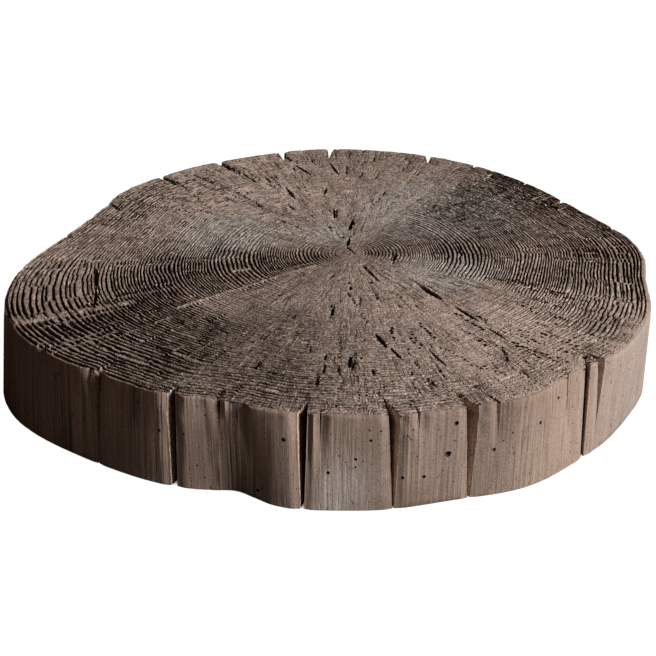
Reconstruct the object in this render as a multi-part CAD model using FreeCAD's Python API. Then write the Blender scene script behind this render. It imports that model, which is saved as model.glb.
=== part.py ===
"""Garden stepping stone cast in concrete in the form of a weathered slice of a log, in millimetres.

The stone is one solid. Its underside lies on z = 0, the tread is on top, and the origin is under
the middle of the stone. The front of the stone faces -Y. Bearings are in degrees about the pith,
counter-clockwise from +X, seen from above.
"""
import FreeCAD, Part
import math
import os

from FreeCAD import Vector

# Driving dimensions of the slab.
TREAD_SPAN_X = 403.0    # widest across the tread, left to right, before its edge is rounded
TREAD_SPAN_Y = 417.0    # widest across the tread, front to back, before its edge is rounded
THICKNESS = 60.0
TREAD_ROUND = 2.0       # round along the edge of the tread
BASE_ROUND = 1.0        # round along the edge of the underside
ROUND_STEPS = 3         # flat steps that make up each round
PITH_X = 15.0           # middle of the growth rings
PITH_Y = 18.0

# Outline of the tread, drawn by eye, counter-clockwise from the right: x, y, and how far the edge of
# the underside lies inside the edge of the tread there. It is fitted to the spans above.
OUTLINE = [
    (200, -5, 1), (201, 22, 1), (193, 50, 1), (176, 80, 1), (158, 111, 1), (135, 145, 1),
    (104, 175, 1), (70, 195, 1), (28, 207, 1), (-15, 208, 1), (-58, 194, 1), (-98, 173, 1),
    (-128, 147, 1), (-147, 122, 1), (-155, 98, 1), (-166, 70, 1), (-182, 34, 0), (-197, -2, -2),
    (-202, -36, -4), (-197, -78, -4), (-183, -107, -3), (-154, -139, -1), (-122, -162, -2),
    (-90, -182, 1), (-66, -187, 2), (-57, -190.5, 5), (-50, -194, 4), (-34, -202, 0), (0, -207, -1),
    (30, -209, 2), (70, -200, 4), (112, -184, 2.5), (140, -155, 0), (166, -131, 5), (185, -99, 6),
    (196, -58, 1.5),
]

# Splits that open at the rim: bearing, turn of the split off the line to the pith, width and run
# inwards at the tread, width and run at the foot, and how far down the wall it goes.
# A split with no run at its foot dies out on the wall.
WHOLE_WALL = THICKNESS
SPLITS = [
    (-142, 0, 4, 12, 0.5, 0, 24),
    (-131, 4, 8, 19, 1.5, 7, WHOLE_WALL),
    (-117.5, 15, 8, 14, 6, 8, WHOLE_WALL),
    (-110.5, 10, 4, 14, 0.5, 0, 20),
    (-97.6, -2, 8, 25, 3, 10, WHOLE_WALL),
    (-95, 0, 3.5, 9, 0.5, 0, 32),
    (-84.5, 9, 8, 30, 1.5, 9, WHOLE_WALL),
    (-81, 4, 3, 24, 0.5, 0, 10),
    (-73, 9, 9, 28, 2.5, 8, WHOLE_WALL),
    (-69, 9, 3, 31, 0.5, 0, 26),
    (-55.5, -18, 2, 12, 0.5, 0, 36),
    (-51, -34, 5, 17, 3.5, 9, WHOLE_WALL),
    (-47.5, -3, 10, 16, 0.5, 0, 52),
    (13, 0, 3, 6, 0.5, 0, 22),
    (31.5, -4, 6, 12, 2, 6, WHOLE_WALL),
    (45, 0, 3, 9, 0.5, 0, 30),
    (60, 0, 4, 10, 0.5, 0, 40),
    (72, 13, 6, 16, 2, 7, WHOLE_WALL),
    (94, -8, 6, 20, 2, 8, WHOLE_WALL),
    (105, -6, 6, 19, 2, 8, WHOLE_WALL),
    (120, 4, 5, 50, 0.5, 0, 34),
    (135, 6, 5, 16, 2, 6, WHOLE_WALL),
    (154, 6, 3, 8, 0.5, 0, 26),
    (172, 0, 4, 8, 0.5, 0, 30),
    (-173, 0, 4, 8, 0.5, 0, 28),
]
SPLIT_HOLLOW = 0.35     # width half-way along a split, as a share of a straight-sided one

# Drying checks in the tread: bearing and reach from the pith of each end, width and depth.
CHECKS = [
    (104, 165, 101, 140, 2.5, 8),
    (95, 165, 93, 136, 2.5, 8),
    (98, 117, 100, 101, 2.5, 7),
    (111, 125, 112, 100, 3, 8),
    (117, 95, 117, 80, 2.5, 6),
    (98, 80, 101, 57, 2, 6),
    (88, 61, 93, 36, 3, 7),
    (92, 27, 108, 9, 3, 7),
    (-71, 20, -69, 52, 2.5, 7),
    (-50, 63, -53, 93, 5, 11),
    (-53, 101, -54, 131, 3, 9),
    (-54.5, 134, -55, 158, 2.5, 7),
    (-84, 118, -82, 141, 4, 10),
    (-81, 140, -80, 157, 2, 6),
    (-98, 76, -98, 103, 2, 6),
    (-91, 148, -91, 166, 3, 8),
    (-73, 146, -72, 174, 2.5, 7),
    (1, 28, -31, 31, 2.5, 6),
    (-172, 164, -161, 168, 4, 9),
    (-161, 168, -152, 178, 3, 8),
]
CHECK_FLOOR_WIDTH = 0.3     # width left at the bottom of a check
CHECK_FLOOR_LENGTH = 0.6    # length of the bottom of a check, as a share of its length at the tread

# Main growth rings, as crescent grooves in the tread: mean reach from the pith, then the bearings
# between which the ring is open on the right and on the left.
RINGS = [
    (22, -20, 45, 180, 225),
    (44, -24, 55, 178, 230),
    (66, -26, 60, 176, 232),
    (88, -28, 62, 174, 236),
    (110, -28, 62, 172, 238),
    (132, -28, 64, 165, 240),
    (154, -26, 64, 155, 240),
    (176, -24, 62, 145, 240),
]
RING_WIDTH = 1.8            # width and depth that a ring would have at the rim
RING_DEPTH = 2.0
RING_LEAST = 0.35           # the same near the pith, as a share of those at the rim
RING_END_WIDTH = 0.6        # width of a ring at the ends of an open stretch
RING_FLOOR_WIDTH = 0.3      # width left at the bottom of a ring
RING_FLOOR_LENGTH = 0.9     # length of the bottom of a ring, as a share of its length at the tread
RING_POINTS = 7             # points of the curve along a ring
RING_BLEND = 1.5            # power by which rings turn from round at the pith to the outline at the rim
MEAN_REACH = (TREAD_SPAN_X + TREAD_SPAN_Y) / 4 - TREAD_ROUND

OVERCUT = 3.0               # how far a split's cut passes beyond the faces that it opens

PITH = Vector(PITH_X, PITH_Y, 0)


def unit(bearing):
    """Level direction at a bearing in degrees."""
    angle = math.radians(bearing)
    return Vector(math.cos(angle), math.sin(angle), 0)


def across(direction):
    """Level direction a quarter turn to the left of another."""
    return Vector(-direction.y, direction.x, 0)


def closed_spline(points):
    """Smooth closed curve through the points, as one edge from each point to the next."""
    curve = Part.BSplineCurve()
    curve.interpolate(Points=points, PeriodicFlag=True)
    knots = curve.getKnots()
    return Part.Wire([curve.toShape(start, end) for start, end in zip(knots, knots[1:])])


def moved_inwards(points, insets):
    """Points of a closed outline, each moved inwards by its own inset."""
    moved = []
    for index, point in enumerate(points):
        following = points[(index + 1) % len(points)]
        along = (following - points[index - 1]).normalize()
        moved.append(point + across(along) * insets[index])
    return moved


def fitted_outlines():
    """Points of the edges of the tread and of the underside, with the stone's middle at the origin."""
    drawn = closed_spline([Vector(x, y, 0) for x, y, _ in OUTLINE]).optimalBoundingBox()
    grow_x = TREAD_SPAN_X / drawn.XLength
    grow_y = TREAD_SPAN_Y / drawn.YLength
    tread = [Vector(x * grow_x, y * grow_y, 0) for x, y, _ in OUTLINE]
    base = moved_inwards(tread, [inset for _, _, inset in OUTLINE])
    both = Part.Compound([closed_spline(tread), closed_spline(base)])
    middle = both.optimalBoundingBox().Center
    return [point - middle for point in tread], [point - middle for point in base]


def section(outline, inset, height):
    """Level section of the slab, inside an outline by the inset."""
    wire = closed_spline(moved_inwards(outline, [inset] * len(outline)))
    wire.translate(Vector(0, 0, height))
    return wire


def slab(tread, base):
    """Slab between the two outlines, with a round along its two edges."""
    sections = []
    for step in range(ROUND_STEPS + 1):
        angle = math.pi / 2 * step / ROUND_STEPS
        inset = BASE_ROUND * (1 - math.sin(angle))
        sections.append(section(base, inset, BASE_ROUND * (1 - math.cos(angle))))
    for step in range(ROUND_STEPS + 1):
        angle = math.pi / 2 * step / ROUND_STEPS
        inset = TREAD_ROUND * (1 - math.cos(angle))
        sections.append(section(tread, inset, THICKNESS - TREAD_ROUND * (1 - math.sin(angle))))
    return Part.makeLoft(sections, True, True)


def rim_point(outline, bearing):
    """Where the line from the pith at a bearing meets an outline."""
    ray = Part.makeLine(PITH, PITH + unit(bearing) * (TREAD_SPAN_X + TREAD_SPAN_Y))
    return ray.distToShape(outline)[1][0][0]


def wedge(rim, inwards, width, run, height):
    """Pointed profile of a split, with hollow sides that flare to its mouth."""
    side = across(inwards)
    tip = rim + inwards * run
    mouth = rim - inwards * OVERCUT
    half = width / 2 * (run + OVERCUT) / max(run, OVERCUT)
    middle = (tip + mouth) * 0.5
    left = Part.Arc(tip, middle + side * half * SPLIT_HOLLOW, mouth + side * half).toShape()
    right = Part.Arc(mouth - side * half, middle - side * half * SPLIT_HOLLOW, tip).toShape()
    close = Part.makeLine(mouth + side * half, mouth - side * half)
    profile = Part.Wire([left, close, right])
    profile.translate(Vector(0, 0, height))
    return profile


def split_cutter(tread_edge, base_edge, row):
    """Solid that one split takes out of the slab."""
    bearing, turn, width, run, foot_width, foot_run, drop = row
    inwards = unit(bearing + 180 + turn)
    head = wedge(rim_point(tread_edge, bearing), inwards, width, run, THICKNESS + OVERCUT)
    foot_height = THICKNESS - drop
    if foot_run > 0:
        foot_height -= OVERCUT
    foot = wedge(rim_point(base_edge, bearing), inwards, foot_width, foot_run, foot_height)
    return Part.makeLoft([head, foot], True, True)


def lens(start, end, width, height):
    """Pointed oval profile between two points."""
    side = across((end - start).normalize())
    middle = (start + end) * 0.5
    near = Part.Arc(start, middle + side * width / 2, end).toShape()
    far = Part.Arc(end, middle - side * width / 2, start).toShape()
    profile = Part.Wire([near, far])
    profile.translate(Vector(0, 0, height))
    return profile


def check_cutter(row):
    """Boat-shaped solid that one drying check takes out of the tread."""
    start_bearing, start_reach, end_bearing, end_reach, width, depth = row
    start = PITH + unit(start_bearing) * start_reach
    end = PITH + unit(end_bearing) * end_reach
    middle = (start + end) * 0.5
    floor_start = middle + (start - middle) * CHECK_FLOOR_LENGTH
    floor_end = middle + (end - middle) * CHECK_FLOOR_LENGTH
    head = lens(start, end, width, THICKNESS)
    floor = lens(floor_start, floor_end, CHECK_FLOOR_WIDTH, THICKNESS - depth)
    return Part.makeLoft([head, floor], True, True)


def ring_reach(tread_edge, mean, bearing):
    """Distance from the pith, at a bearing, of the ring with a mean reach."""
    share = mean / MEAN_REACH
    rim = (rim_point(tread_edge, bearing) - PITH).Length - TREAD_ROUND
    blend = share ** RING_BLEND
    return share * (MEAN_REACH * (1 - blend) + rim * blend)


def open_spline(points):
    """Smooth curve through the points."""
    curve = Part.BSplineCurve()
    curve.interpolate(points)
    return curve.toShape()


def crescent(tread_edge, mean, bearings, end_width, width, height):
    """Profile of a stretch of ring, widest half-way and narrow at its ends."""
    inner = []
    outer = []
    for index, bearing in enumerate(bearings):
        swell = math.sin(math.pi * index / (len(bearings) - 1))
        half = (end_width + (width - end_width) * swell) / 2
        reach = ring_reach(tread_edge, mean, bearing)
        inner.append(PITH + unit(bearing) * (reach - half))
        outer.append(PITH + unit(bearing) * (reach + half))
    end = Part.makeLine(outer[-1], inner[-1])
    start = Part.makeLine(inner[0], outer[0])
    profile = Part.Wire([open_spline(outer), end, open_spline(inner[::-1]), start])
    profile.translate(Vector(0, 0, height))
    return profile


def spread(first, last, length):
    """Bearings of the points along a ring, over a share of the way between two bearings."""
    middle = (first + last) / 2
    half = (last - first) / 2 * length
    return [middle + half * (2 * index / (RING_POINTS - 1) - 1) for index in range(RING_POINTS)]


def ring_cutter(tread_edge, mean, first, last):
    """Solid that one stretch of a main growth ring takes out of the tread."""
    size = RING_LEAST + (1 - RING_LEAST) * mean / MEAN_REACH
    head_bearings = spread(first, last, 1)
    floor_bearings = spread(first, last, RING_FLOOR_LENGTH)
    floor_height = THICKNESS - RING_DEPTH * size
    head = crescent(tread_edge, mean, head_bearings, RING_END_WIDTH, RING_WIDTH * size, THICKNESS)
    floor = crescent(tread_edge, mean, floor_bearings, RING_FLOOR_WIDTH, RING_FLOOR_WIDTH, floor_height)
    return Part.makeLoft([head, floor], True, True)


def stepping_stone():
    """The whole cast stone."""
    tread, base = fitted_outlines()
    tread_edge = closed_spline(tread)
    base_edge = closed_spline(base)
    cutters = [split_cutter(tread_edge, base_edge, row) for row in SPLITS]
    cutters += [check_cutter(row) for row in CHECKS]
    for mean, right_first, right_last, left_first, left_last in RINGS:
        cutters.append(ring_cutter(tread_edge, mean, right_first, right_last))
        cutters.append(ring_cutter(tread_edge, mean, left_first, left_last))
    return slab(tread, base).cut(cutters)


os.makedirs("parts", exist_ok=True)
stone = stepping_stone()
stone.exportStep("parts/stepping_stone.step")
print("solids", len(stone.Solids), "valid", stone.isValid(), "volume", round(stone.Volume))
print(stone.optimalBoundingBox())
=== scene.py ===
import math

import bmesh
import bpy
import numpy as np
from mathutils import Matrix, Vector
from mathutils.bvhtree import BVHTree
from mathutils.kdtree import KDTree


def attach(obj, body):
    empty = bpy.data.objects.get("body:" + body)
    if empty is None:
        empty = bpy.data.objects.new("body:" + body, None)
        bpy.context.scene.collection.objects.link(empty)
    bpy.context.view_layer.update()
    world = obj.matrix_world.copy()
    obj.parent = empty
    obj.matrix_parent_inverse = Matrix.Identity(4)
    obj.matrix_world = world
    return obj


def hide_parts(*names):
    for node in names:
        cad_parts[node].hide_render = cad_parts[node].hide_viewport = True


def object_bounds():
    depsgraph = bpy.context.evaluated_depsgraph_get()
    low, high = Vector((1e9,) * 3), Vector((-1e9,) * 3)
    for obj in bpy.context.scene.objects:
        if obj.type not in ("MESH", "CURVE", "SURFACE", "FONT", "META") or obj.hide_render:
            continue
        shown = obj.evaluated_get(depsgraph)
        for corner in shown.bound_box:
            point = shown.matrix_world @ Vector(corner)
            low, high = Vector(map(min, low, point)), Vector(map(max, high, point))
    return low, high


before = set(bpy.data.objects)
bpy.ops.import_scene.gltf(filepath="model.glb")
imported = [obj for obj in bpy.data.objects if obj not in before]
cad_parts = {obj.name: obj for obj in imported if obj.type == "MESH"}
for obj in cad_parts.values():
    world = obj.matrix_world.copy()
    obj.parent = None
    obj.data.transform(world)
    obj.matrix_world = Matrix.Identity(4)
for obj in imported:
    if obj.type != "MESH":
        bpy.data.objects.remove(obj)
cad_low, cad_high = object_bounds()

MM = 0.001
STONE = "stepping_stone"
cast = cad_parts[STONE]
TREAD_HEIGHT = cad_high.z

# The pith is where the growth rings start; bearings are measured about it from +X towards +Y.
PITH = np.array((15, 18)) * MM

# The shape is worked out at this many bearings in a turn
COLUMNS = 1024
BEARINGS = np.arange(COLUMNS) * 2 * math.pi / COLUMNS
DEGREES = np.degrees(BEARINGS)
OUTWARDS = np.stack((np.cos(BEARINGS), np.sin(BEARINGS)), axis=1)

# Growth rings: share of the way from pith to rim, and the distance between rings there in mm
RING_PITCHES = [
    (0.00, 2.4), (0.16, 2.4), (0.19, 1.5), (0.28, 1.5), (0.31, 2.8), (0.41, 2.8), (0.44, 1.7), (0.51, 1.7),
    (0.54, 2.3), (0.61, 2.3), (0.64, 1.8), (0.69, 1.8), (0.72, 2.3), (0.77, 2.4), (0.80, 2.7), (1.00, 2.9),
]
RING_SWAY = 1.6 * MM

# Least and greatest width of a ring, as a share of the distance between rings
RING_WIDTHS = (0.78, 1.22)

# Loops of points to a ring: one side of the groove's floor, a shoulder, the crest, a shoulder, the other side
LOOPS = 5
FLOOR_IN, CREST, FLOOR_OUT = 0, 2, 4

# Main rings, which the cast has as grooves: their distance apart, the mean reach of the tread's edge from
# the pith, and the bearings between which they are open
MAIN_PITCH = 22 * MM
MEAN_REACH = 203 * MM
MAIN_SECTORS = [(-28, 64), (145, 240)]

# Fault lines run from the pith to the rim and shift the rings between them
FAULTS = 84
FAULT_SHIFT = 1.5 * MM

# Sectors with rows of pits: first and last bearing, and the share of the way to the rim where they start
PITTED = [(-78, -20, 0.45), (96, 168, 0.45)]

# The sector at the right back where the tread is rough, with its first share of the way to the rim
ROUGH_BACK = (20, 62, 0.38)

# The sector at the front where finer lines run between the rings, with its first share of the way to the rim
FINE_FRONT = (-130, -66, 0.45)

# Degrees inside and outside the edge of a sector over which it fades
FADE_INSIDE = 8
FADE_OUTSIDE = 4

# Zones of the tread, painted in this order: first and last bearing, shares of the way to the rim where the
# zone starts and ends, the groove's width as a share of its ring, its depth in mm at the rim and how broken
# it is
GROOVE_ZONES = [
    (-180, 180, 0, 1.2, 0.34, 0.9, 0.4),
    (112, 180, 0.1, 0.72, 0.4, 1.5, 0.5),
    (126, 174, 0.6, 1.2, 0.62, 3.2, 0.9),
    (176, 217, 0.07, 0.36, 0.58, 2.5, 0.1),
    (217, 250, 0.08, 0.6, 0.38, 1.1, 0.6),
    (176, 206, 0.34, 0.74, 0.54, 2.5, 0.1),
    (204, 217, 0.3, 0.62, 0.56, 2.3, 0.1),
    (176, 204, 0.74, 1.2, 0.38, 2.8, 0.15),
    (203, 240, 0.58, 1.2, 0.66, 2.9, 0.15),
    (238, 266, 0.44, 1.2, 0.46, 2.6, 0.35),
    (264, 292, 0.4, 1.2, 0.42, 1.4, 0.6),
    (242, 264, 0.8, 1.2, 0.6, 2.6, 0.5),
    (290, 334, 0.05, 0.58, 0.26, 0.3, 0.6),
    (290, 334, 0.58, 1.2, 0.28, 0.4, 0.7),
    (-28, 60, 0.02, 0.24, 0.44, 2, 0.2),
    (-28, 58, 0.24, 1.2, 0.52, 2.4, 0.15),
    (54, 72, 0.24, 1.2, 0.4, 1.3, 0.5),
    (-44, -22, 0.64, 1.2, 0.46, 2, 0.4),
    (20, 54, 0.3, 0.78, 0.44, 2.4, 0.3),
    (20, 58, 0.78, 1.2, 0.56, 2.8, 0.3),
    (66, 110, 0.05, 1.2, 0.32, 1, 0.7),
]

# How far the edge of a zone wanders and fades in degrees, and fades as a share of the way to the rim
ZONE_WANDER = 9
ZONE_FADE = 5
BAND_FADE = 0.04

# Stretches of the rim where the grooves fade out: first and last bearing, and the shares over which they fade
PLAIN_RIMS = [(-76, -26, 0.90, 0.95), (-105, -76, 0.95, 0.985), (74, 142, 0.945, 0.985)]

# Stretch of the rim where the outermost groove keeps its depth
OPEN_RIM = (172, 244)

# Skin between the cast's own faces and the highest points of the relief
SKIN = 0.06 * MM

# Round along the edge of the cast's tread
TREAD_ROUND = 2 * MM

# Faces of the cast down to this depth belong to its tread and main rings
RING_FACES = 1.6 * MM

# Triangles of the relief before the splits are cut
RELIEF_TRIANGLES = 138000

# Thin checks of the tread: plan place of both ends, width and depth, in mm
THIN_CHECKS = [
    (-78, 181, -60, 158, 1.4, 3), (-60, 158, -50, 142, 1, 2), (-118, 153, -104, 140, 1.4, 3),
    (-104, 140, -99, 131, 1, 2), (-55, 108, -40, 92, 1, 2), (-34, 74, -18, 59, 1, 2),
    (-31, 193, -25, 182, 1.2, 2.5), (0, 66, 2, 54, 1.2, 2.4), (5.7, 92, 5.4, 77, 1.2, 2.4),
    (17.6, 75.5, 14, 55.6, 1.3, 2.6), (9.5, 51, 10, 42, 1.1, 2.2), (12, 27, 17.5, 16, 1.5, 2.6),
    (65, 165, 62, 155, 1, 2), (24, 162, 22, 150, 1, 2), (40, 132, 37, 117, 1.2, 2.5),
    (37, 117, 27, 92, 0.9, 1.6), (19, 135, 18, 118, 0.9, 1.8), (-150, 105, -140, 91, 1.4, 2.6),
    (-138, 92, -124, 82, 1, 2), (-95, 157, -80, 140, 0.9, 1.6), (-45, 155, -40, 140, 0.9, 1.6),
    (141, 141, 97, 110, 1.8, 1.6), (97, 110, 62, 84, 1.5, 1.4), (160, 105, 140, 96, 1.6, 1.6),
    (21, -1, 27, -12, 1.7, 2.8), (25.5, -26, 29, -33, 1.2, 2.2), (12.7, -27, 14, -40, 1.1, 2.2),
    (14.4, -17.5, 20, -31, 0.9, 1.6), (3, -16, 0, -25, 0.9, 1.6), (8.5, -19.5, 4, -38, 0.8, 1.4),
    (6, -7.7, 20, -8.5, 0.8, 1.2), (2.6, 16.7, 8, 11, 1.4, 2.2), (41, 0.3, 47, -3, 1.1, 2.2),
    (1.9, -59, 2.8, -82, 1.2, 2.6), (11.5, -42, 14, -52, 1.1, 2.2), (14.5, -52, 17, -63, 1.1, 2.2),
    (17, -65, 25, -95, 0.6, 1), (28, -47, 32, -58, 1, 2), (38, -41, 48, -56, 0.9, 1.8),
    (36, -121, 43, -137, 0.9, 1.8), (-1, -129, -2.5, -137, 1.3, 2.4), (-2, -141, -3, -154, 1.3, 2.4),
    (-5, -155, -7, -169, 1.3, 2.4), (5.5, -142, 6.3, -156, 1.1, 2.2), (13, -132, 14, -146, 1.5, 2.6),
    (24.7, -147.5, 26, -156, 1.2, 2.2), (55, -158, 61, -171, 1.4, 3),
]

# Small checks of chance place: how many, and the sectors that they lie in
CHANCE_CHECKS = 190
CHECKED = [(-165, -30), (15, 150)]

# Rows of pits along checks that have not opened: plan place of both ends and width of a pit, in mm
PIT_ROWS = [
    (-117, 150, -99, 131, 2), (-99, 131, -75, 86, 1.8), (-75, 86, -55, 77, 1.7),
    (-87, 150, -74, 136, 1.7), (-60, 109, -39, 88, 1.7), (-34, 75, -17, 57, 1.7),
    (59, -121, 69, -148, 1.7), (65, -119, 81, -140, 2), (81, -142, 102, -156, 2.1),
    (78, -96, 100, -119, 1.9), (101, -119, 104, -139, 2.8), (105, -110, 121, -127, 2.8),
    (121, -127, 134, -134, 2.5), (33, -10, 41, -21, 1.5), (41, -21, 53, -31, 1.5),
    (100, -100, 150, -112, 2), (112, -96, 152, -122, 2), (90, -84, 118, -108, 1.8),
    (60, -92, 70, -108, 1.5),
]

# Rows of pits of chance place: first and last bearing, how many rows, and the widest pit in mm
CHANCE_ROWS = [(-74, -22, 40, 2.9), (98, 164, 18, 2.4), (-97, -74, 16, 2.7)]
LEAST_PIT = 1.6

# Seams of the tread, where the rings stop: plan place of both ends and width, in mm
SEAMS = [
    (-194, -89, -170, -79, 12), (-170, -79, -149, -70, 9),
    (-149, -70, -119, -57, 6), (-92, -66, -34, -20, 1.6),
    (-62, -12, -50, -7.5, 1.6), (-34, -20, -8, -2, 2),
]


def ease(low, high, value):
    """0 below low, 1 above high and a smooth step between them."""
    share = np.clip((value - low) / (high - low), 0, 1)
    return share * share * (3 - 2 * share)


def past_edge(degrees, first, last):
    """How many degrees a bearing lies outside a sector: below 0 inside it."""
    apart = np.abs((degrees - (first + last) / 2 + 180) % 360 - 180)
    return apart - (last - first) / 2


def between_bearings(degrees, first, last):
    """1 between two bearings, 0 outside them and a smooth step at each."""
    return 1 - ease(-FADE_INSIDE, FADE_OUTSIDE, past_edge(degrees, first, last))


# Rows after which the noise repeats
NOISE_ROWS = 331


def noise(rows, bumps, seed, angular=False):
    """Noise from -1 to 1 in rows by columns: one bump for each unit of rows, and bumps in a turn."""
    table = np.random.default_rng(seed).uniform(-1, 1, (NOISE_ROWS, bumps))
    rows = np.asarray(rows, float).reshape(-1, 1)
    turn = np.arange(COLUMNS)[None, :] * bumps / COLUMNS
    row, column = np.broadcast_arrays(np.floor(rows), np.floor(turn))
    row_share = rows - np.floor(rows)
    column_share = turn - np.floor(turn)
    if not angular:
        row_share, column_share = ease(0, 1, row_share), ease(0, 1, column_share)
    row = row.astype(int) % NOISE_ROWS
    column = column.astype(int) % bumps
    next_row = (row + 1) % NOISE_ROWS
    next_column = (column + 1) % bumps
    near = table[row, column] * (1 - column_share) + table[row, next_column] * column_share
    far = table[next_row, column] * (1 - column_share) + table[next_row, next_column] * column_share
    return near * (1 - row_share) + far * row_share


# The cast as the frame gives it


def welded_cast():
    """A copy of the cast's mesh with the seams of its file format closed."""
    body = bmesh.new()
    body.from_mesh(cast.data)
    bmesh.ops.remove_doubles(body, verts=body.verts, dist=0.001 * MM)
    return body


def widest(values, columns):
    """The greatest value within some columns of each column."""
    return np.maximum.reduce([np.roll(values, shift) for shift in range(-columns, columns + 1)])


def wall_reach(surface, height):
    """The wall's distance from the pith at each bearing, with the splits bridged."""
    outside = 0.4
    split_columns = 7
    split_depth = 0.4 * MM
    spare_columns = 3
    reach = np.empty(COLUMNS)
    for column, (x, y) in enumerate(OUTWARDS):
        start = Vector((PITH[0] + outside * x, PITH[1] + outside * y, height))
        hit = surface.ray_cast(start, Vector((-x, -y, 0)))[0]
        reach[column] = math.hypot(hit.x - PITH[0], hit.y - PITH[1])
    bridged = -widest(-widest(reach, split_columns), split_columns)
    whole = widest((bridged - reach > split_depth).astype(int), spare_columns) == 0
    column = np.arange(COLUMNS)
    return np.interp(column, column[whole], reach[whole], period=COLUMNS)


body = welded_cast()
surface = BVHTree.FromBMesh(body)
HULL_HEIGHTS = np.array((3, 9, 16, 24, 32, 40, 48, 55)) * MM
hull_rows = np.array([wall_reach(surface, height) for height in HULL_HEIGHTS])


def hull_reach(height):
    """The unsplit wall's distance from the pith at a height, at each bearing."""
    below = int(np.clip(np.searchsorted(HULL_HEIGHTS, height) - 1, 0, len(HULL_HEIGHTS) - 2))
    low, high = HULL_HEIGHTS[below], HULL_HEIGHTS[below + 1]
    return hull_rows[below] + (hull_rows[below + 1] - hull_rows[below]) * (height - low) / (high - low)


rim_reach = hull_reach(TREAD_HEIGHT - TREAD_ROUND)
tread_reach = rim_reach - TREAD_ROUND

# Growth rings


def ring_edges():
    """The share of the way from pith to rim at which each ring starts."""
    chance = np.random.default_rng(3)
    share, pitch = zip(*RING_PITCHES)
    edges = [0.0]
    while edges[-1] < MEAN_REACH:
        width = np.interp(edges[-1] / MEAN_REACH, share, pitch) * MM
        edges.append(edges[-1] + width * chance.uniform(*RING_WIDTHS))
    edges = np.array(edges) / edges[-1] * MEAN_REACH
    main = np.arange(1, int(MEAN_REACH / MAIN_PITCH) + 1) * MAIN_PITCH
    nearest = [edges[np.argmin(np.abs(edges - reach))] for reach in main]
    fitted = np.interp(edges, [0, *nearest, MEAN_REACH], [0, *main, MEAN_REACH])
    return fitted / MEAN_REACH


ring_edge = ring_edges()
RING_COUNT = len(ring_edge) - 1
ring_share = np.repeat(ring_edge[:-1], LOOPS)


def grooves():
    """Width as a share of the ring, depth and brokenness of the ring grooves, at each loop and column."""
    made = np.zeros((3, len(ring_share), COLUMNS))
    wander = ZONE_WANDER * noise(ring_share * 9, 14, 20, angular=True)
    for first, last, start, end, *values in GROOVE_ZONES:
        middle, half = (first + last) / 2, (last - first) / 2
        apart = np.abs((DEGREES + wander - middle + 180) % 360 - 180)
        whole_turn = half == 180
        sector = np.ones_like(apart) if whole_turn else 1 - ease(half - ZONE_FADE, half + ZONE_FADE, apart)
        begun = ease(start - BAND_FADE, start + BAND_FADE, ring_share)
        ended = ease(end - BAND_FADE, end + BAND_FADE, ring_share)
        zone = (begun * (1 - ended))[:, None] * sector
        made += zone * (np.array(values)[:, None, None] - made)
    width, depth, broken = made
    depth = depth * MM * (1 + 0.25 * noise(ring_share * 5, 13, 21))
    depth *= ((0.45 + 0.55 * ring_share) * ease(0.01, 0.05, ring_share))[:, None]
    for first, last, start, end in PLAIN_RIMS:
        depth *= 1 - ease(start, end, ring_share)[:, None] * between_bearings(DEGREES, first, last)
    depth[-2:] *= 0.4 + 0.6 * between_bearings(DEGREES, *OPEN_RIM)
    return width * (1 + 0.2 * noise(ring_share * 6, 17, 27)), depth, broken


groove_width, groove_depth, groove_broken = grooves()


def ring_loops():
    """The ring and share of it where each loop lies at each column, and the loop's place among its ring's."""
    ring = np.repeat(np.arange(RING_COUNT), LOOPS)
    loop = np.arange(len(ring))
    half = groove_width / 2 * (1 + 0.34 * noise(loop, 512, 22) + 0.16 * noise(loop, 150, 28))
    half = np.clip(half, 0.05, 0.42)
    kind = loop % LOOPS
    shares = (0.6 * half, half, np.full_like(half, 0.5), 1 - half, 1 - 0.6 * half)
    return ring[:, None] + np.choose(kind[:, None], shares), kind


loop_ring, loop_kind = ring_loops()
loop_share = np.interp(loop_ring, np.arange(RING_COUNT + 1), ring_edge)


def fault_lines():
    """The fault that each column lies in, and 1 for a column that starts a fault and 0 for the others."""
    chance = np.random.default_rng(13)
    starts = np.sort(chance.choice(np.arange(0, COLUMNS, 5), FAULTS, replace=False))
    column = np.arange(COLUMNS)
    fault = np.searchsorted(starts, column, side="right") % FAULTS
    return fault, np.isin(column, starts).astype(float)


column_fault, on_fault = fault_lines()


def free_of_main(share):
    """1 where rings may shift and 0 along the cast's own rings."""
    open_there = np.zeros(COLUMNS)
    for first, last in MAIN_SECTORS:
        open_there = np.maximum(open_there, 1 - ease(0, FADE_INSIDE, past_edge(DEGREES, first, last)))
    between = np.sin(math.pi * share * MEAN_REACH / MAIN_PITCH) ** 2
    return 1 - open_there * (1 - ease(0, 0.5, between))


def reach_of(share):
    """Distance of a share of the way to the rim from the pith: round at the pith, the outline at the rim."""
    lean = share ** 1.5
    reach = share * (MEAN_REACH * (1 - lean) + tread_reach * lean)
    row = share.mean(axis=1)
    sway = noise(row * 7, 26, 11, angular=True) * 0.7 + noise(row * 15, 60, 12, angular=True) * 0.4
    shift = np.random.default_rng(14).uniform(-1, 1, (12, FAULTS))[(row * 11).astype(int)][:, column_fault]
    moved = RING_SWAY * sway + FAULT_SHIFT * shift * share
    return reach + moved * free_of_main(share) * np.minimum(3 * share, 1) * (1 - share ** 30)


loop_reach = reach_of(loop_share)


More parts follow.
